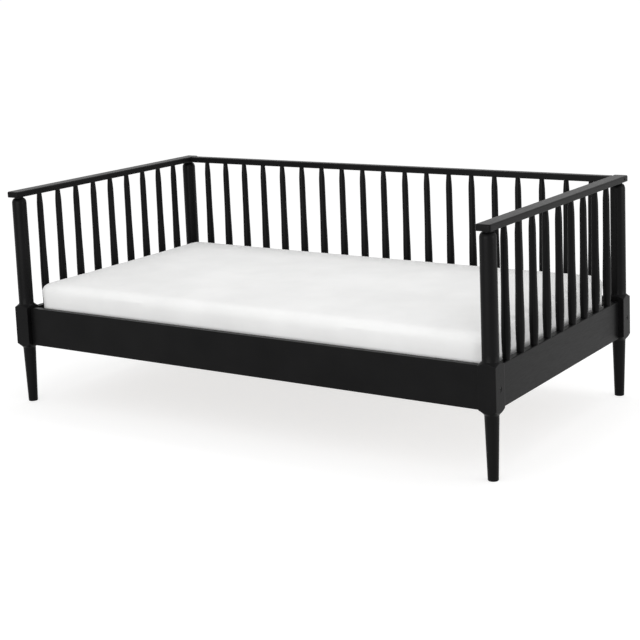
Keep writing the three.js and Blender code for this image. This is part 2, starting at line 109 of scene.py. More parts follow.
def sprayed_black(name, grain):
    """Satin black lacquer over wood. The colour drifts between two near blacks in soft clouds, the
    gloss dulls in patches, and a fine grain, stretched along the board, lifts the surface."""
    material = bpy.data.materials.new(name)
    material.use_nodes = True
    nodes = material.node_tree.nodes
    links = material.node_tree.links
    shader = nodes["Principled BSDF"]
    shader.inputs["IOR"].default_value = 1.46
    shader.inputs["Specular IOR Level"].default_value = 0.08
    place = nodes.new("ShaderNodeTexCoord")
    clouds = nodes.new("ShaderNodeTexNoise")
    clouds.inputs["Scale"].default_value = 7.0
    clouds.inputs["Detail"].default_value = 4.0
    links.new(place.outputs["Object"], clouds.inputs["Vector"])
    colour = nodes.new("ShaderNodeValToRGB")
    colour.color_ramp.elements[0].position = 0.32
    colour.color_ramp.elements[0].color = (0.0036, 0.0036, 0.0038, 1)
    colour.color_ramp.elements[1].position = 0.70
    colour.color_ramp.elements[1].color = (0.0060, 0.0059, 0.0061, 1)
    links.new(clouds.outputs["Fac"], colour.inputs["Fac"])
    links.new(colour.outputs["Color"], shader.inputs["Base Color"])
    stretch = nodes.new("ShaderNodeMapping")
    stretch.inputs["Scale"].default_value = grain
    links.new(place.outputs["Object"], stretch.inputs["Vector"])
    pores = nodes.new("ShaderNodeTexNoise")
    pores.inputs["Scale"].default_value = 26.0
    pores.inputs["Detail"].default_value = 6.0
    pores.inputs["Roughness"].default_value = 0.62
    links.new(stretch.outputs["Vector"], pores.inputs["Vector"])
    peel = nodes.new("ShaderNodeTexNoise")
    peel.inputs["Scale"].default_value = 340.0
    peel.inputs["Detail"].default_value = 2.0
    links.new(place.outputs["Object"], peel.inputs["Vector"])
    gloss = nodes.new("ShaderNodeMapRange")
    gloss.inputs["From Min"].default_value = 0.3
    gloss.inputs["From Max"].default_value = 0.7
    gloss.inputs["To Min"].default_value = 0.30
    gloss.inputs["To Max"].default_value = 0.42
    links.new(pores.outputs["Fac"], gloss.inputs["Value"])
    links.new(gloss.outputs["Result"], shader.inputs["Roughness"])
    grain_lift = nodes.new("ShaderNodeBump")
    grain_lift.inputs["Strength"].default_value = 0.12
    grain_lift.inputs["Distance"].default_value = 0.0006
    links.new(pores.outputs["Fac"], grain_lift.inputs["Height"])
    peel_lift = nodes.new("ShaderNodeBump")
    peel_lift.inputs["Strength"].default_value = 0.10
    peel_lift.inputs["Distance"].default_value = 0.0003
    links.new(peel.outputs["Fac"], peel_lift.inputs["Height"])
    links.new(grain_lift.outputs["Normal"], peel_lift.inputs["Normal"])
    links.new(peel_lift.outputs["Normal"], shader.inputs["Normal"])
    return material


def turning(radii, heights, base, axis, around):
    """A turned piece's loops: at each height along the axis, a circle of that radius about it."""
    first = {"x": (0, 1, 0), "-x": (0, 0, 1), "y": (0, 0, 1), "-y": (1, 0, 0), "z": (1, 0, 0)}[axis]
    second = {"x": (0, 0, 1), "-x": (0, 1, 0), "y": (1, 0, 0), "-y": (0, 0, 1), "z": (0, 1, 0)}[axis]
    first = np.array(first, float)
    second = np.array(second, float)
    along = np.cross(first, second)
    angle = np.linspace(0, 2 * np.pi, around, endpoint=False)[None, :, None]
    ring = np.cos(angle) * first + np.sin(angle) * second
    return np.array(base) + heights[:, None, None] * along + radii.reshape(len(heights), -1, 1) * ring


def apply_modifiers(piece):
    """Gives the piece the mesh that its modifiers make of it, and takes them off."""
    made = bpy.data.meshes.new_from_object(piece.evaluated_get(bpy.context.evaluated_depsgraph_get()))
    piece.modifiers.clear()
    piece.data = made


def bore(piece, drill):
    """Cuts the drill's shape out of the piece, and removes the drill."""
    cut = piece.modifiers.new("bore", "BOOLEAN")
    cut.operation = "DIFFERENCE"
    cut.solver = "EXACT"
    cut.object = drill
    apply_modifiers(piece)
    bpy.data.objects.remove(drill)
    piece.data.shade_smooth()
    piece.data.set_sharp_from_angle(angle=SMOOTH_ANGLE)


def post_loops(x, y):
    """A post's surface over height and angle: the smaller of the turned radius at that height and
    the reach of the square stock at that angle, eased where they cross. Angles crowd to the corners."""
    leg_top = block_low - LEG_SHOULDER_RISE
    column_base = block_top + COLUMN_SHOULDER_RISE
    column_top = arm_underside - NECK_HEIGHT - NECK_SHOULDER
    past_corner = POST_SQUARE * math.sqrt(0.5) + CORNER_OVERRUN
    rise = np.linspace(0, 1, 26)[1:]
    flare = rise ** SHOULDER_HOLLOW
    foot_turn = np.linspace(0, np.pi / 2, 7)
    neck_turn = np.linspace(0, np.pi / 2, 12)
    leg = np.linspace(LEG_FOOT_EDGE, leg_top, 10)[1:]
    block = np.linspace(block_low, block_top, 14)[1:-1]
    column = np.linspace(column_base, column_top, 16)
    heights = np.concatenate([
        LEG_FOOT_EDGE * (1 - np.cos(foot_turn)),
        leg,
        leg_top + LEG_SHOULDER_RISE * rise,
        block,
        (column_base - COLUMN_SHOULDER_RISE * rise)[::-1],
        column,
        column_top + NECK_SHOULDER * np.sin(neck_turn[1:]),
        [arm_underside - NECK_TO_ARM],
    ])
    foot_gain = LEG_FOOT_RADIUS - LEG_FOOT_BASE_RADIUS
    leg_gain = LEG_TOP_RADIUS - LEG_FOOT_RADIUS
    column_share = np.linspace(0, 1, len(column))
    neck_drop = COLUMN_TOP_RADIUS - NECK_RADIUS
    radii = np.concatenate([
        LEG_FOOT_BASE_RADIUS + foot_gain * np.sin(foot_turn),
        LEG_FOOT_RADIUS + leg_gain * (leg - LEG_FOOT_EDGE) / (leg_top - LEG_FOOT_EDGE),
        LEG_TOP_RADIUS + (past_corner - LEG_TOP_RADIUS) * flare,
        np.full(len(block), past_corner),
        (COLUMN_BASE_RADIUS + (past_corner - COLUMN_BASE_RADIUS) * flare)[::-1],
        COLUMN_BASE_RADIUS + (COLUMN_TOP_RADIUS - COLUMN_BASE_RADIUS) * column_share,
        COLUMN_TOP_RADIUS - neck_drop * (1 - np.cos(neck_turn[1:])),
        [NECK_RADIUS],
    ])
    even = np.linspace(0, 2 * np.pi, POST_STEPS_AROUND, endpoint=False)
    angle = even + CORNER_CROWDING * np.sin(4 * even) / 4
    power = POST_CORNER_SHARPNESS
    spread = np.abs(np.cos(angle)) ** power + np.abs(np.sin(angle)) ** power
    reach = POST_SQUARE / 2 / spread ** (1 / power)
    gap = radii[:, None] - reach
    radius = (radii[:, None] + reach - np.sqrt(gap ** 2 + CREASE_SOFTNESS ** 2)) / 2
    return np.stack([
        x + radius * np.cos(angle),
        y + radius * np.sin(angle),
        np.broadcast_to(heights[:, None], radius.shape),
    ], -1)


paint_upright = sprayed_black("black_paint_upright", (14, 14, 1))
for corner, side in CORNER_SIDES.items():
    low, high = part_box(f"{corner}_post")
    post_x = (low.x + high.x) / 2
    post_y = (low.y + high.y) / 2
    bolt_low, bolt_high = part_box(f"{corner}_rail_bolt")
    bolt_z = (bolt_low.z + bolt_high.z) / 2
    post = closed_surface(f"{corner}_turned_post", post_loops(post_x, post_y))
    outer_face = post_x + side * POST_SQUARE / 2
    seat_depths = np.array([-BOLT_SEAT_DEPTH, -SEAT_CHAMFER_DEPTH, 0.0, DRILL_OVERRUN])
    seat_radii = SEAT_CHAMFER * np.array([0, 0, 1, 1]) + BOLT_SEAT_RADIUS
    seat_axis = "x" if side > 0 else "-x"
    seat = closed_surface("seat_drill", turning(
        seat_radii, seat_depths, (outer_face, post_y, bolt_z), seat_axis, BOLT_SEAT_STEPS_AROUND,
    ))
    bore(post, seat)
    post.data.materials.append(paint_upright)
    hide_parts(f"{corner}_post")
    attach(post, "frame")


# Rail bolts. Steel connector bolts in black zinc with flat hexagon socket heads, each through a
# post's block into the end of a long rail, where a hidden barrel nut holds it.
BOLT_HEAD_RADIUS = 0.008
BOLT_HEAD_THICKNESS = 0.003
BOLT_HEAD_EDGE = 0.0006
BOLT_HEAD_EDGE_TURN = 0.3
BOLT_SHANK_RADIUS = 0.003
BOLT_TIP_CHAMFER = 0.0005
SOCKET_FLAT = 0.0025
SOCKET_DEPTH = 0.002
BOLT_STEPS_AROUND = 48


def black_zinc():
    """Black zinc on steel: a dark metal, rubbed brighter in fine streaks."""
    material = bpy.data.materials.new("black_zinc")
    material.use_nodes = True
    nodes = material.node_tree.nodes
    links = material.node_tree.links
    shader = nodes["Principled BSDF"]
    shader.inputs["Metallic"].default_value = 0.85
    place = nodes.new("ShaderNodeTexCoord")
    rubbing = nodes.new("ShaderNodeTexNoise")
    rubbing.inputs["Scale"].default_value = 420.0
    rubbing.inputs["Detail"].default_value = 5.0
    links.new(place.outputs["Object"], rubbing.inputs["Vector"])
    colour = nodes.new("ShaderNodeValToRGB")
    colour.color_ramp.elements[0].position = 0.35
    colour.color_ramp.elements[0].color = (0.004, 0.004, 0.0044, 1)
    colour.color_ramp.elements[1].position = 0.75
    colour.color_ramp.elements[1].color = (0.014, 0.014, 0.015, 1)
    links.new(rubbing.outputs["Fac"], colour.inputs["Fac"])
    links.new(colour.outputs["Color"], shader.inputs["Base Color"])
    gloss = nodes.new("ShaderNodeMapRange")
    gloss.inputs["To Min"].default_value = 0.28
    gloss.inputs["To Max"].default_value = 0.48
    links.new(rubbing.outputs["Fac"], gloss.inputs["Value"])
    links.new(gloss.outputs["Result"], shader.inputs["Roughness"])
    return material


def socket_bolt_loops(base, axis, head_radius, length):
    """A bolt's loops from its tip to the floor of its socket, along its axis from its head's outer
    face at nought. The socket's loops are hexagons: the flat's distance over the cosine of the angle
    from the middle of the nearest flat."""
    angle = np.linspace(0, 2 * np.pi, BOLT_STEPS_AROUND, endpoint=False)
    hexagon = SOCKET_FLAT / np.cos((angle + np.pi / 6) % (np.pi / 3) - np.pi / 6)
    circle = np.ones(BOLT_STEPS_AROUND)
    edge = BOLT_HEAD_EDGE
    edge_turn = edge * BOLT_HEAD_EDGE_TURN
    heights = np.array([
        -length, -length + BOLT_TIP_CHAMFER, -BOLT_HEAD_THICKNESS, -BOLT_HEAD_THICKNESS,
        -edge, -edge_turn, 0, 0, -SOCKET_DEPTH,
    ])
    radii = np.stack([
        circle * (BOLT_SHANK_RADIUS - BOLT_TIP_CHAMFER),
        circle * BOLT_SHANK_RADIUS,
        circle * BOLT_SHANK_RADIUS,
        circle * head_radius,
        circle * head_radius,
        circle * (head_radius - edge_turn),
        circle * (head_radius - edge),
        hexagon,
        hexagon,
    ])
    return turning(radii, heights, base, axis, BOLT_STEPS_AROUND)


zinc = black_zinc()
for corner, side in CORNER_SIDES.items():
    low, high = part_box(f"{corner}_rail_bolt")
    head_face = high.x if side > 0 else low.x
    bolt = closed_surface(f"{corner}_socket_bolt", socket_bolt_loops(
        (head_face, (low.y + high.y) / 2, (low.z + high.z) / 2),
        "x" if side > 0 else "-x", BOLT_HEAD_RADIUS, high.x - low.x,
    ))
    bolt.data.materials.append(zinc)
    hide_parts(f"{corner}_rail_bolt")
    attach(bolt, "frame")


# Long rails, front and back: deep planed boards with lightly eased edges, sprayed black. Each
# butts against the blocks of two posts with a hairline of shadow at the joint.
RAIL_EDGE_ROUND = 0.0025
RAIL_END_EASE = 0.0005
RAIL_END_STRETCH = 0.002
FLAT_GUARD = 0.0008
JOINT_LINE = 0.0004


def rounded_outline(width, height, top_round, bottom_round, arc_steps=6):
    """The outline of a rectangle with rounded corners, once round. A point on a corner is the corner
    of an inner rectangle pushed out by the radius. One more point just beyond each end of each arc
    keeps the flats flat when they are shaded smooth."""
    turn = np.linspace(0, np.pi / 2, arc_steps + 1) + np.arange(4)[:, None] * np.pi / 2
    across = np.array([1, -1, -1, 1])[:, None]
    upward = np.array([1, 1, -1, -1])[:, None]
    radius = np.array([top_round, top_round, bottom_round, bottom_round])[:, None]
    arcs = np.stack([
        across * (width / 2 - radius) + radius * np.cos(turn),
        upward * (height / 2 - radius) + radius * np.sin(turn),
    ], -1)
    ends = turn[:, [0, -1]]
    heading = np.stack([-np.sin(ends), np.cos(ends)], -1) * FLAT_GUARD
    before = arcs[:, :1] - heading[:, :1]
    beyond = arcs[:, -1:] + heading[:, 1:]
    return np.concatenate([before, arcs, beyond], 1).reshape(-1, 2)


def carried(outlines, stations, middle, along):
    """Outlines carried along X or Y: each outline stands upright at its station, about the middle.
    Along Y they run the other way round, so that the faces still point outwards."""
    station = np.broadcast_to(stations[:, None], outlines.shape[:2])
    if along == "x":
        return np.stack([station, middle[0] + outlines[..., 0], middle[1] + outlines[..., 1]], -1)
    return np.stack([middle[0] + outlines[..., 0], station, middle[1] + outlines[..., 1]], -1)[:, ::-1]


def board_loops(low, high, along, top_round, bottom_round):
    """A board between two corners: one rounded outline carried from end to end, and drawn in a little
    at both ends, where its sawn end is eased."""
    run, cross = (0, 1) if along == "x" else (1, 0)
    width = high[cross] - low[cross]
    height = high[2] - low[2]
    ease = RAIL_END_EASE
    stations = np.array([
        low[run], low[run] + ease, low[run] + RAIL_END_STRETCH,
        high[run] - RAIL_END_STRETCH, high[run] - ease, high[run],
    ])
    full = rounded_outline(width, height, top_round, bottom_round)
    eased = rounded_outline(width - 2 * ease, height - 2 * ease, top_round, bottom_round)
    outlines = np.stack([eased, full, full, full, full, eased])
    middle = ((low[cross] + high[cross]) / 2, (low[2] + high[2]) / 2)
    return carried(outlines, stations, middle, along)


paint_long = sprayed_black("black_paint_long", (1, 14, 14))
post_reach_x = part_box("front_right_post")[0].x - JOINT_LINE
for node in ("front_rail", "back_rail"):
    low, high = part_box(node)
    rail = closed_surface(f"{node}_board", board_loops(
        (-post_reach_x, low.y, low.z), (post_reach_x, high.y, high.z), "x",
        RAIL_EDGE_ROUND, RAIL_EDGE_ROUND,
    ))
    rail.data.materials.append(paint_long)
    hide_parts(node)
    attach(rail, "frame")


# Side rails: boards like the long rails, a little narrower and set a little lower, sprayed black.
# They are tenoned and glued into the posts, so that each end of the bed is one frame.
paint_cross = sprayed_black("black_paint_cross", (14, 1, 14))
post_reach_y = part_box("back_right_post")[0].y - JOINT_LINE
for node in ("left_side_rail", "right_side_rail"):
    low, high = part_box(node)
    rail = closed_surface(f"{node}_board", board_loops(
        (low.x, -post_reach_y, low.z), (high.x, post_reach_y, high.z), "y",
        RAIL_EDGE_ROUND, RAIL_EDGE_ROUND,
    ))
    rail.data.materials.append(paint_cross)
    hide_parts(node)
    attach(rail, "frame")


# Spindles: thin turnings between the rails and the arms or the top rail, slim under the top,
# full along the body and fullest a hand's breadth above the rail. Their tenons are hidden.
BACK_SPINDLES = 19
SIDE_SPINDLES = 9
SPINDLE_FOOT_RADIUS = 0.0129
SPINDLE_SWELL_RADIUS = 0.0150
SPINDLE_BODY_RADIUS = 0.0128
SPINDLE_SHOULDER_RADIUS = 0.0119
SPINDLE_TOP_RADIUS = 0.0087
SWELL_HEIGHT = 0.083
SPINDLE_SHOULDER_DROP = 0.050
SPINDLE_LET_IN = 0.0008
SPINDLE_STEPS_UP = 46
SPINDLE_STEPS_AROUND = 28

side_rail_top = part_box("left_side_rail")[1].z
top_rail_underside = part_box("back_top_rail")[0].z


def flowing(at, knots, values):
    """A smooth curve through the knots that never overshoots them: a cubic between each two, whose
    slope at a knot is the harmonic mean of the slopes on both sides, and nought at a turning point."""
    step = np.diff(knots)
    rise = np.diff(values) / step
    slope = np.zeros(len(knots))
    same = rise[:-1] * rise[1:] > 0
    slope[1:-1][same] = 2 * rise[:-1][same] * rise[1:][same] / (rise[:-1] + rise[1:])[same]
    slope[0], slope[-1] = rise[0], rise[-1]
    k = np.clip(np.searchsorted(knots, at) - 1, 0, len(step) - 1)
    t = (at - knots[k]) / step[k]
    low = values[k] * (1 + 2 * t) * (1 - t) ** 2 + slope[k] * step[k] * t * (1 - t) ** 2
    high = values[k + 1] * t ** 2 * (3 - 2 * t) - slope[k + 1] * step[k] * t ** 2 * (1 - t)
    return low + high


def spindle_loops(x, y, foot, head):
    """A spindle's surface: circles up its axis whose radius flows through five sizes, at the foot,
    the swelling, the middle of the body, the shoulder and the top."""
    middle = (foot + SWELL_HEIGHT + head - SPINDLE_SHOULDER_DROP) / 2
    knots = np.array([
        foot - SPINDLE_LET_IN, foot + SWELL_HEIGHT, middle,
        head - SPINDLE_SHOULDER_DROP, head + SPINDLE_LET_IN,
    ])
    sizes = np.array([
        SPINDLE_FOOT_RADIUS, SPINDLE_SWELL_RADIUS, SPINDLE_BODY_RADIUS, SPINDLE_SHOULDER_RADIUS,
        SPINDLE_TOP_RADIUS,
    ])
    heights = np.linspace(knots[0], knots[-1], SPINDLE_STEPS_UP)
    radii = flowing(heights, knots, sizes)
    return turning(radii, heights - heights[0], (x, y, heights[0]), "z", SPINDLE_STEPS_AROUND)


spindle_rows = [("back", BACK_SPINDLES, long_rail_top, top_rail_underside)]
spindle_rows += [(side, SIDE_SPINDLES, side_rail_top, arm_underside) for side in ("left", "right")]
for row, count, foot, head in spindle_rows:
    for number in range(1, count + 1):
        low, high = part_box(f"{row}_spindle_{number}")
        spindle = closed_surface(f"{row}_turned_spindle_{number}", spindle_loops(
            (low.x + high.x) / 2, (low.y + high.y) / 2, foot, head,
        ))
        spindle.data.materials.append(paint_upright)
        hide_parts(f"{row}_spindle_{number}")
        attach(spindle, "frame")


# Arms: flat boards over the posts and spindles of each end, with rounded corners and softened
# edges. A small bolt goes in through the outer edge of each at the back.
ARM_TOP_ROUND = 0.005
ARM_BOTTOM_ROUND = 0.003
ARM_CORNER = 0.008
ARM_END_STRETCH = 0.010
ARM_BOLT_HEAD_RADIUS = 0.0055
ARM_BOLT_SEAT_RADIUS = 0.0058
ARM_BOLT_SEAT_STEPS_AROUND = 40


def arm_loops(low, high):
    """An arm's surface: a rounded outline carried along Y. Towards each end its width draws in by a
    quarter circle, seen from above, and its top and bottom draw in by smaller ones, seen from the side."""
    turn = np.linspace(0, np.pi / 2, 13)
    inset = ARM_CORNER * (1 - np.cos(turn))
    narrowing = ARM_CORNER * (1 - np.sin(turn))

    def rounding(radius):
        left = np.clip(radius - inset, 0, radius)
        return radius - np.sqrt(radius ** 2 - left ** 2)

    lowering = rounding(ARM_TOP_ROUND)
    raising = rounding(ARM_BOTTOM_ROUND)
    width = high.x - low.x
    height = high.z - low.z
    end = np.stack([
        rounded_outline(width - 2 * n, height - a - b, ARM_TOP_ROUND, ARM_BOTTOM_ROUND) + (0, (b - a) / 2)
        for n, a, b in zip(narrowing, lowering, raising)
    ])
    stations = np.concatenate([
        low.y + inset, [low.y + ARM_END_STRETCH, high.y - ARM_END_STRETCH], (high.y - inset)[::-1],
    ])
    outlines = np.concatenate([end, end[-1:], end[-1:], end[::-1]])
    return carried(outlines, stations, ((low.x + high.x) / 2, (low.z + high.z) / 2), "y")


for side, name in ((-1, "left"), (1, "right")):
    low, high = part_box(f"{name}_arm")
    arm = closed_surface(f"{name}_arm_board", arm_loops(low, high))
    bolt_low, bolt_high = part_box(f"{name}_arm_bolt")
    bolt_y = (bolt_low.y + bolt_high.y) / 2
    bolt_z = (bolt_low.z + bolt_high.z) / 2
    outer_edge = high.x if side > 0 else low.x
    axis = "x" if side > 0 else "-x"
    seat = closed_surface("arm_seat_drill", turning(
        np.full(2, ARM_BOLT_SEAT_RADIUS), np.array([-BOLT_SEAT_DEPTH, DRILL_OVERRUN]),
        (outer_edge, bolt_y, bolt_z), axis, ARM_BOLT_SEAT_STEPS_AROUND,
    ))
    bore(arm, seat)
    arm.data.materials.append(paint_cross)
    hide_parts(f"{name}_arm")
    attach(arm, "frame")
    head_face = bolt_high.x if side > 0 else bolt_low.x
    bolt = closed_surface(f"{name}_arm_socket_bolt", socket_bolt_loops(
        (head_face, bolt_y, bolt_z), axis, ARM_BOLT_HEAD_RADIUS, bolt_high.x - bolt_low.x,
    ))
    bolt.data.materials.append(zinc)
    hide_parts(f"{name}_arm_bolt")
    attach(bolt, "frame")


# Top rail of the back: a board between the arms, narrower than they are and flush with their tops.
# It is glued over the spindles of the back and held at both ends by the bolts through the arms.
low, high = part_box("back_top_rail")
top_rail = closed_surface("back_top_rail_board", board_loops(
    low, high, "x", ARM_TOP_ROUND, ARM_BOTTOM_ROUND,
))
top_rail.data.materials.append(paint_long)
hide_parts("back_top_rail")
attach(top_rail, "frame")


# Cleats: planed pine strips along the inside of the long rails, which carry the slats. Each is
# held by eight countersunk screws.
CLEAT_EDGE_ROUND = 0.0015
SCREW_HEAD_RADIUS = 0.0045
SCREW_HEAD_DOME = 0.0012
SCREW_HEAD_SUNK = 0.001
SCREW_COUNT = 8
SCREW_END_GAP = 0.09
SCREW_STEPS_AROUND = 20


def planed_pine(name, grain):
    """Unfinished pine: pale early wood with darker late-wood lines that wander along the board, fine
    fibres, and a drift of tone from board to board."""
    material = bpy.data.materials.new(name)
    material.use_nodes = True
    nodes = material.node_tree.nodes
    links = material.node_tree.links
    shader = nodes["Principled BSDF"]
    shader.inputs["Specular IOR Level"].default_value = 0.3
    place = nodes.new("ShaderNodeTexCoord")
    stretch = nodes.new("ShaderNodeMapping")
    stretch.inputs["Scale"].default_value = grain
    links.new(place.outputs["Object"], stretch.inputs["Vector"])
    rings = nodes.new("ShaderNodeTexWave")
    rings.wave_type = "RINGS"
    rings.rings_direction = "SPHERICAL"
    rings.inputs["Scale"].default_value = 9.0
    rings.inputs["Distortion"].default_value = 5.0
    rings.inputs["Detail"].default_value = 3.0
    rings.inputs["Detail Scale"].default_value = 1.4
    links.new(stretch.outputs["Vector"], rings.inputs["Vector"])
    colour = nodes.new("ShaderNodeValToRGB")
    colour.color_ramp.elements[0].position = 0.15
    colour.color_ramp.elements[0].color = (0.64, 0.46, 0.27, 1)
    colour.color_ramp.elements[1].position = 0.92
    colour.color_ramp.elements[1].color = (0.47, 0.30, 0.15, 1)
    links.new(rings.outputs["Fac"], colour.inputs["Fac"])
    fibres = nodes.new("ShaderNodeTexNoise")
    fibres.inputs["Scale"].default_value = 60.0
    fibres.inputs["Detail"].default_value = 6.0
    links.new(stretch.outputs["Vector"], fibres.inputs["Vector"])
    tone = nodes.new("ShaderNodeMix")
    tone.data_type = "RGBA"
    tone.blend_type = "SOFT_LIGHT"
    tone.inputs["Factor"].default_value = 0.55
    links.new(colour.outputs["Color"], tone.inputs["A"])
    links.new(fibres.outputs["Color"], tone.inputs["B"])
    links.new(tone.outputs["Result"], shader.inputs["Base Color"])
    gloss = nodes.new("ShaderNodeMapRange")
    gloss.inputs["To Min"].default_value = 0.55
    gloss.inputs["To Max"].default_value = 0.75
    links.new(fibres.outputs["Fac"], gloss.inputs["Value"])
    links.new(gloss.outputs["Result"], shader.inputs["Roughness"])
    lift = nodes.new("ShaderNodeBump")
    lift.inputs["Strength"].default_value = 0.3
    lift.inputs["Distance"].default_value = 0.0005
    links.new(fibres.outputs["Fac"], lift.inputs["Height"])
    links.new(lift.outputs["Normal"], shader.inputs["Normal"])
    return material


pine_long = planed_pine("bare_pine_long", (0.7, 9, 9))
for node in ("front_cleat", "back_cleat"):
    low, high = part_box(node)
    cleat = closed_surface(f"{node}_strip", board_loops(low, high, "x", CLEAT_EDGE_ROUND, CLEAT_EDGE_ROUND))
    cleat.data.materials.append(pine_long)
    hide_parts(node)
    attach(cleat, "frame")
    inward = "y" if node == "front_cleat" else "-y"
    inner_y = high.y if node == "front_cleat" else low.y
    dome = np.linspace(0, np.pi / 2, 6)[:-1]
    head_radii = SCREW_HEAD_RADIUS * np.concatenate([[1, 1], np.cos(dome[1:])])
    head_heights = np.concatenate([[-SCREW_HEAD_SUNK, 0], SCREW_HEAD_DOME * np.sin(dome[1:])])
    screw_places = np.linspace(low.x + SCREW_END_GAP, high.x - SCREW_END_GAP, SCREW_COUNT)
    for number, x in enumerate(screw_places, 1):
        screw = closed_surface(f"{node}_screw_{number}", turning(
            head_radii, head_heights, (x, inner_y, (low.z + high.z) / 2), inward, SCREW_STEPS_AROUND,
        ))
        screw.data.materials.append(zinc)
        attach(screw, "frame")


# Slat roll: fourteen planed pine slats with eased edges. They lie loose across the cleats and carry
# the mattress, with gaps a little narrower than a slat.
SLAT_COUNT = 14
SLAT_WIDTH = 0.070
SLAT_EDGE_ROUND = 0.002
SLAT_OVER_CLEAT = 0.0003

pine_cross = planed_pine("bare_pine_cross", (9, 0.7, 9))
low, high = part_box("slat_roll")
slat_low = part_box("front_cleat")[1].z + SLAT_OVER_CLEAT
slat_middles = np.linspace(low.x + SLAT_WIDTH / 2, high.x - SLAT_WIDTH / 2, SLAT_COUNT)
for number, x in enumerate(slat_middles, 1):
    slat = closed_surface(f"slat_{number}", board_loops(
        (x - SLAT_WIDTH / 2, low.y, slat_low), (x + SLAT_WIDTH / 2, high.y, high.z), "y",
        SLAT_EDGE_ROUND, SLAT_EDGE_ROUND,
    ))
    slat.data.materials.append(pine_cross)
    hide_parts("slat_roll")
    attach(slat, "frame")


# Webbing: two strips of woven polyester under the slats, which keep them evenly apart and let them be
# rolled up. Each slat is held to both by a black staple.
WEBBING_WIDTH = 0.025
WEBBING_INSET = 0.157
WEBBING_END_GAP = 0.0175
WEBBING_BEDDED = 0.0004
WEBBING_EDGE_ROUND = 0.0006
STAPLE_LENGTH = 0.011
STAPLE_RADIUS = 0.0005
STAPLE_TIP = 0.0005
STAPLE_TIP_SHARE = 0.6
STAPLE_STEPS_AROUND = 10


def woven_strip():
    """Pale woven webbing: ribs across it every two millimetres, crossed by finer warp threads."""
    material = bpy.data.materials.new("slat_webbing_weave")
    material.use_nodes = True
    nodes = material.node_tree.nodes
    links = material.node_tree.links
    shader = nodes["Principled BSDF"]
    shader.inputs["Roughness"].default_value = 0.85
    shader.inputs["Sheen Weight"].default_value = 0.2
    place = nodes.new("ShaderNodeTexCoord")
    ribs = nodes.new("ShaderNodeTexWave")
    ribs.bands_direction = "X"
    ribs.inputs["Scale"].default_value = 160.0
    links.new(place.outputs["Object"], ribs.inputs["Vector"])
    warp = nodes.new("ShaderNodeTexWave")
    warp.bands_direction = "Y"
    warp.inputs["Scale"].default_value = 260.0
    links.new(place.outputs["Object"], warp.inputs["Vector"])
    threads = nodes.new("ShaderNodeMath")
    threads.operation = "MULTIPLY"
    links.new(ribs.outputs["Fac"], threads.inputs[0])
    links.new(warp.outputs["Fac"], threads.inputs[1])
    colour = nodes.new("ShaderNodeValToRGB")
    colour.color_ramp.elements[0].color = (0.52, 0.50, 0.46, 1)
    colour.color_ramp.elements[1].color = (0.74, 0.72, 0.67, 1)
    links.new(threads.outputs["Value"], colour.inputs["Fac"])
    links.new(colour.outputs["Color"], shader.inputs["Base Color"])
    lift = nodes.new("ShaderNodeBump")
    lift.inputs["Strength"].default_value = 0.5
    lift.inputs["Distance"].default_value = 0.0004
    links.new(threads.outputs["Value"], lift.inputs["Height"])
    links.new(lift.outputs["Normal"], shader.inputs["Normal"])
    return material


weave = woven_strip()
webbing_top = slat_low + WEBBING_BEDDED
for name, y in (("front", low.y + WEBBING_INSET), ("back", high.y - WEBBING_INSET)):
    strip = closed_surface(f"{name}_slat_webbing", board_loops(
        (low.x + WEBBING_END_GAP, y - WEBBING_WIDTH / 2, low.z),
        (high.x - WEBBING_END_GAP, y + WEBBING_WIDTH / 2, webbing_top),
        "x", WEBBING_EDGE_ROUND, WEBBING_EDGE_ROUND,
    ))
    strip.data.materials.append(weave)
    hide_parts("slat_roll")
    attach(strip, "frame")
    for number, x in enumerate(slat_middles, 1):
        staple = closed_surface(f"{name}_staple_{number}", turning(
            np.array([STAPLE_TIP_SHARE, 1, 1, STAPLE_TIP_SHARE]) * STAPLE_RADIUS,
            np.array([0, STAPLE_TIP, STAPLE_LENGTH - STAPLE_TIP, STAPLE_LENGTH]),
            (x, y - STAPLE_LENGTH / 2, low.z), "y", STAPLE_STEPS_AROUND,
        ))
        staple.data.materials.append(zinc)
        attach(staple, "frame")


# Mattress: a foam core in a smooth white knitted cover. Its sides draw in a little between the
# corners, its top is crowned, and the filling pushes the cover out between its edges. The
# filling is simulated: a slightly smaller block is blown up as cloth, and the swelling is capped.
MATTRESS_SHRINK = 0.003
MATTRESS_OVER_SLATS = 0.0005
MATTRESS_CORNER = 0.045
MATTRESS_CORNER_LEAST = 0.02
MATTRESS_CORNER_TIGHTENING = 0.5
MATTRESS_EDGE_ROUND = 0.028
MATTRESS_FLAT_HALF = 2.2 * MATTRESS_EDGE_ROUND
MATTRESS_CROWN = 0.007
MATTRESS_BOW = 0.005
MATTRESS_WAIST = 0.0035
MATTRESS_VOXEL = 0.015
SWELLING_CAP = 0.004
SWELLING_FRAMES = 20
FILLING_PRESSURE = 4.0
COVER_MASS = 0.4
COVER_STIFFNESS = 25
COVER_BENDING = 3


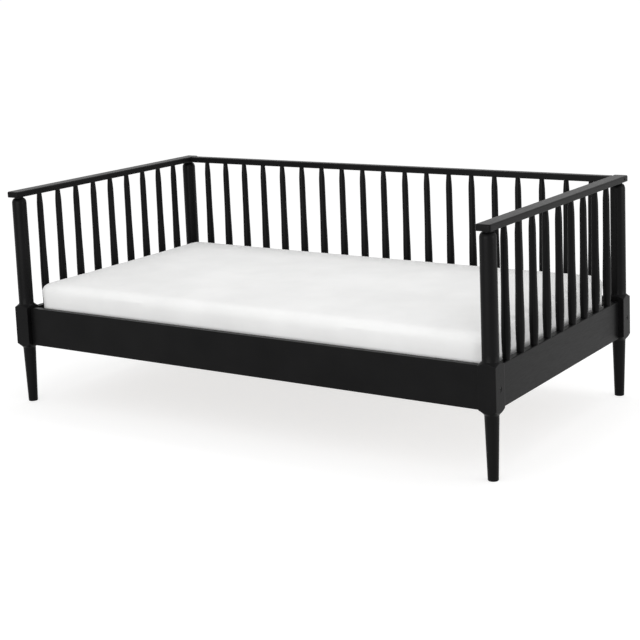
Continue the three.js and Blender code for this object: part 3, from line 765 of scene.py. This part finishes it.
def mattress_loops(low, high):
    """The cover's surface over two parameters. Round the plan, a point is a point of an inner
    rectangle pushed out by the corner's radius, and drawn in on the straights by a shallow bow. Up
    the profile, the plan is drawn in by an inset: quarter circles at both edges, a waist between
    them, and a crown that rises by a quarter sine to a flat strip along the middle."""
    turn = np.linspace(0, np.pi / 2, 13)[1:-1]
    long_run = np.linspace(-1, 1, 49)
    short_run = np.linspace(-1, 1, 25)
    steady = np.ones_like
    centre_x = np.concatenate([
        steady(short_run), steady(turn), -long_run, -steady(turn),
        -steady(short_run), -steady(turn), long_run, steady(turn),
    ])
    centre_y = np.concatenate([
        short_run, steady(turn), steady(long_run), steady(turn),
        -short_run, -steady(turn), -steady(long_run), -steady(turn),
    ])
    heading = np.concatenate([
        0 * short_run, turn, 0 * long_run + np.pi / 2, turn + np.pi / 2,
        0 * short_run + np.pi, turn + np.pi, 0 * long_run + 1.5 * np.pi, turn + 1.5 * np.pi,
    ])
    edge = MATTRESS_EDGE_ROUND
    bottom = low.z + MATTRESS_OVER_SLATS
    edge_top = high.z - MATTRESS_CROWN - MATTRESS_SHRINK
    quarter = np.linspace(0, np.pi / 2, 9)
    middle = np.linspace(0, 1, 9)[1:-1]
    half_width = (high.y - low.y) / 2 - MATTRESS_SHRINK
    half_length = (high.x - low.x) / 2 - MATTRESS_SHRINK
    deepest = half_width - MATTRESS_FLAT_HALF
    inner = np.linspace(edge, deepest, 16)[1:]
    crown = MATTRESS_CROWN * np.sin((inner - edge) / (deepest - edge) * np.pi / 2)
    insets = np.concatenate([
        inner[::-1], edge * (1 - np.sin(quarter)), MATTRESS_WAIST * np.sin(middle * np.pi),
        edge * (1 - np.cos(quarter)), inner,
    ])[:, None]
    heights = np.concatenate([
        np.full(len(inner), bottom), bottom + edge * (1 - np.cos(quarter)),
        bottom + edge + (edge_top - bottom - 2 * edge) * middle,
        edge_top - edge * (1 - np.sin(quarter)), edge_top + crown,
    ])[:, None]
    corner = np.maximum(MATTRESS_CORNER - MATTRESS_CORNER_TIGHTENING * insets, MATTRESS_CORNER_LEAST)
    reach = half_width - insets - corner
    across = centre_x * (half_length - insets - corner)
    deep = centre_y * reach
    bow_x = MATTRESS_BOW * (1 - centre_y ** 2)
    bow_y = MATTRESS_BOW * (1 - centre_x ** 2)
    x = across + np.cos(heading) * (corner - bow_x)
    y = deep + np.sin(heading) * (corner - bow_y)
    return np.stack([x, y, np.broadcast_to(heights, x.shape)], -1)


def blow_up(piece, frames, cap):
    """Blows the piece's cover up as cloth, and leaves the result in its mesh without the cloth. The
    way that each point went is shortened to the cap times the hyperbolic tangent of the way over the
    cap, so that no point ends further off than the cap."""
    started = np.empty(len(piece.data.vertices) * 3)
    piece.data.vertices.foreach_get("co", started)
    cloth = piece.modifiers.new("filling", "CLOTH")
    cloth.settings.quality = 4
    cloth.settings.mass = COVER_MASS
    cloth.settings.tension_stiffness = COVER_STIFFNESS
    cloth.settings.compression_stiffness = COVER_STIFFNESS
    cloth.settings.bending_stiffness = COVER_BENDING
    cloth.settings.use_pressure = True
    cloth.settings.uniform_pressure_force = FILLING_PRESSURE
    cloth.settings.effector_weights.gravity = 0
    cloth.collision_settings.use_collision = False
    cloth.point_cache.frame_start = 1
    cloth.point_cache.frame_end = frames
    for number in range(1, frames + 1):
        bpy.context.scene.frame_set(number)
    swollen = piece.evaluated_get(bpy.context.evaluated_depsgraph_get()).data
    ended = np.empty_like(started)
    swollen.vertices.foreach_get("co", ended)
    moved = (ended - started).reshape(-1, 3)
    distance = np.linalg.norm(moved, axis=1, keepdims=True)
    kept = moved * cap * np.tanh(distance / cap) / np.maximum(distance, 1e-9)
    piece.modifiers.clear()
    bpy.context.scene.frame_set(1)
    piece.data.vertices.foreach_set("co", (started.reshape(-1, 3) + kept).ravel())


def white_knit():
    """A smooth white knitted cover: fine rows of stitches crossed by finer columns, seen only from
    close by, a soft cloudiness over a hand's breadth, and the sheen of brushed yarn."""
    material = bpy.data.materials.new("white_knitted_cover")
    material.use_nodes = True
    nodes = material.node_tree.nodes
    links = material.node_tree.links
    shader = nodes["Principled BSDF"]
    shader.inputs["Roughness"].default_value = 0.9
    shader.inputs["Specular IOR Level"].default_value = 0.2
    shader.inputs["Sheen Weight"].default_value = 0.12
    shader.inputs["Sheen Roughness"].default_value = 0.5
    place = nodes.new("ShaderNodeTexCoord")
    clouds = nodes.new("ShaderNodeTexNoise")
    clouds.inputs["Scale"].default_value = 5.5
    clouds.inputs["Detail"].default_value = 3.0
    links.new(place.outputs["Object"], clouds.inputs["Vector"])
    colour = nodes.new("ShaderNodeValToRGB")
    colour.color_ramp.elements[0].position = 0.30
    colour.color_ramp.elements[0].color = (0.80, 0.80, 0.795, 1)
    colour.color_ramp.elements[1].position = 0.72
    colour.color_ramp.elements[1].color = (0.86, 0.86, 0.855, 1)
    links.new(clouds.outputs["Fac"], colour.inputs["Fac"])
    links.new(colour.outputs["Color"], shader.inputs["Base Color"])
    rows = nodes.new("ShaderNodeTexWave")
    rows.bands_direction = "DIAGONAL"
    rows.inputs["Scale"].default_value = 210.0
    rows.inputs["Distortion"].default_value = 0.6
    links.new(place.outputs["Object"], rows.inputs["Vector"])
    columns = nodes.new("ShaderNodeTexWave")
    columns.bands_direction = "X"
    columns.inputs["Scale"].default_value = 330.0
    links.new(place.outputs["Object"], columns.inputs["Vector"])
    stitches = nodes.new("ShaderNodeMath")
    stitches.operation = "MULTIPLY"
    links.new(rows.outputs["Fac"], stitches.inputs[0])
    links.new(columns.outputs["Fac"], stitches.inputs[1])
    stitch_lift = nodes.new("ShaderNodeBump")
    stitch_lift.inputs["Strength"].default_value = 0.25
    stitch_lift.inputs["Distance"].default_value = 0.0004
    links.new(stitches.outputs["Value"], stitch_lift.inputs["Height"])
    rumple = nodes.new("ShaderNodeTexNoise")
    rumple.inputs["Scale"].default_value = 9.0
    rumple.inputs["Detail"].default_value = 2.0
    links.new(place.outputs["Object"], rumple.inputs["Vector"])
    rumple_lift = nodes.new("ShaderNodeBump")
    rumple_lift.inputs["Strength"].default_value = 0.35
    rumple_lift.inputs["Distance"].default_value = 0.004
    links.new(rumple.outputs["Fac"], rumple_lift.inputs["Height"])
    links.new(stitch_lift.outputs["Normal"], rumple_lift.inputs["Normal"])
    links.new(rumple_lift.outputs["Normal"], shader.inputs["Normal"])
    return material


low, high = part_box("mattress")
mattress = closed_surface("knitted_mattress", mattress_loops(low, high))
even_mesh = mattress.modifiers.new("even_mesh", "REMESH")
even_mesh.mode = "VOXEL"
even_mesh.voxel_size = MATTRESS_VOXEL
apply_modifiers(mattress)
blow_up(mattress, SWELLING_FRAMES, SWELLING_CAP)
finer = mattress.modifiers.new("finer", "SUBSURF")
finer.levels = 1
finer.render_levels = 1
apply_modifiers(mattress)
points = np.empty(len(mattress.data.vertices) * 3)
mattress.data.vertices.foreach_get("co", points)
points = points.reshape(-1, 3)
points[:, 2] = np.maximum(points[:, 2], low.z)
mattress.data.vertices.foreach_set("co", points.ravel())
mattress.data.shade_smooth()
mattress.data.materials.clear()
mattress.data.materials.append(white_knit())
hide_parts("mattress")
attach(mattress, "mattress")


# Floor: plain matt paper that runs past the picture on every side. It is grey to the light, and lifted
# to white where it is looked at, so that it keeps the soft shadow of the bed.
FLOOR_REACH = 120.0
FLOOR_GREY = (0.45, 0.45, 0.45, 1)
FLOOR_LIFT = 0.665


def looked_at(tree):
    """One on the rays that look and nought on those that only carry light: the largest of the light
    path's camera, glossy and transmission outputs."""
    path = tree.nodes.new("ShaderNodeLightPath")
    largest = path.outputs["Is Camera Ray"]
    for ray in ("Is Glossy Ray", "Is Transmission Ray"):
        larger = tree.nodes.new("ShaderNodeMath")
        larger.operation = "MAXIMUM"
        tree.links.new(largest, larger.inputs[0])
        tree.links.new(path.outputs[ray], larger.inputs[1])
        largest = larger.outputs["Value"]
    return largest


floor_mesh = bpy.data.meshes.new("studio_floor")
floor_mesh.from_pydata([
    (-FLOOR_REACH, -FLOOR_REACH, 0), (FLOOR_REACH, -FLOOR_REACH, 0),
    (FLOOR_REACH, FLOOR_REACH, 0), (-FLOOR_REACH, FLOOR_REACH, 0),
], [], [(0, 1, 2, 3)])
floor = bpy.data.objects.new("studio_floor", floor_mesh)
bpy.context.scene.collection.objects.link(floor)
floor_paper = bpy.data.materials.new("white_floor_paper")
floor_paper.use_nodes = True
tree = floor_paper.node_tree
paper = tree.nodes["Principled BSDF"]
paper.inputs["Base Color"].default_value = FLOOR_GREY
paper.inputs["Roughness"].default_value = 1.0
paper.inputs["Specular IOR Level"].default_value = 0.0
lift = tree.nodes.new("ShaderNodeMath")
lift.operation = "MULTIPLY"
lift.inputs[1].default_value = FLOOR_LIFT
tree.links.new(looked_at(tree), lift.inputs[0])
paper.inputs["Emission Color"].default_value = (1, 1, 1, 1)
tree.links.new(lift.outputs["Value"], paper.inputs["Emission Strength"])
floor_mesh.materials.append(floor_paper)


# Studio light: an even white surround, a large soft lamp in front, one at the right and a smaller
# one above the back. Where it is looked at, the surround is pure white.
SURROUND_STRENGTH = 0.79

world = bpy.data.worlds.new("white_surround")
bpy.context.scene.world = world
world.use_nodes = True
tree = world.node_tree
surround = tree.nodes["Background"]
surround.inputs["Color"].default_value = (1, 1, 1, 1)
strength = tree.nodes.new("ShaderNodeMapRange")
strength.inputs["To Min"].default_value = SURROUND_STRENGTH
strength.inputs["To Max"].default_value = 1.0
tree.links.new(looked_at(tree), strength.inputs["Value"])
tree.links.new(strength.outputs["Result"], surround.inputs["Strength"])


def soft_lamp(name, place, target, width, height, power):
    """A rectangular lamp at a place, turned to face its target."""
    data = bpy.data.lights.new(name, "AREA")
    data.shape = "RECTANGLE"
    data.size = width
    data.size_y = height
    data.energy = power
    lamp = bpy.data.objects.new(name, data)
    bpy.context.scene.collection.objects.link(lamp)
    facing = (Vector(target) - Vector(place)).to_track_quat("-Z", "Y")
    lamp.matrix_world = Matrix.Translation(place) @ facing.to_matrix().to_4x4()


soft_lamp(
    "top_soft_lamp", place=(0, 1.0, 2.8), target=(0, 0.3, 0.45), width=2.6, height=1.0, power=16.5,
)
soft_lamp(
    "front_soft_lamp", place=(0.5, -6.5, 1.2), target=(0, -0.4, 0.4), width=5.0, height=3.0, power=205.0,
)
soft_lamp(
    "side_soft_lamp", place=(6.0, 1.0, 1.2), target=(0.9, 0, 0.4), width=3.0, height=2.5, power=95.0,
)


# Camera: where the photograph was taken from, found by fitting the posts, rails and spindles. It is
# tilted only a little and its picture shifted instead, which keeps the posts nearly parallel.
CAMERA_PLACE = (2.9614, -4.3786, 1.5667)
CAMERA_AZIMUTH = math.radians(33.758)
CAMERA_ELEVATION = math.radians(8.876)
CAMERA_ROLL = math.radians(-2.302)
CAMERA_LENS = 82.808
CAMERA_SHIFT = -0.1875
CAMERA_SIGHT = 400.0

camera_data = bpy.data.cameras.new("photo_camera")
camera_data.sensor_fit = "HORIZONTAL"
camera_data.sensor_width = 36.0
camera_data.lens = CAMERA_LENS
camera_data.shift_y = CAMERA_SHIFT
camera_data.clip_end = CAMERA_SIGHT
camera = bpy.data.objects.new("photo_camera", camera_data)
bpy.context.scene.collection.objects.link(camera)
backward = Vector((
    math.sin(CAMERA_AZIMUTH) * math.cos(CAMERA_ELEVATION),
    -math.cos(CAMERA_AZIMUTH) * math.cos(CAMERA_ELEVATION),
    math.sin(CAMERA_ELEVATION),
))
level_right = (-backward).cross(Vector((0, 0, 1))).normalized()
level_up = level_right.cross(-backward)
right = math.cos(CAMERA_ROLL) * level_right + math.sin(CAMERA_ROLL) * level_up
up = -math.sin(CAMERA_ROLL) * level_right + math.cos(CAMERA_ROLL) * level_up
turned = Matrix((right, up, backward)).transposed().to_4x4()
camera.matrix_world = Matrix.Translation(Vector(CAMERA_PLACE)) @ turned
bpy.context.scene.camera = camera
bpy.context.scene.view_settings.view_transform = "Standard"
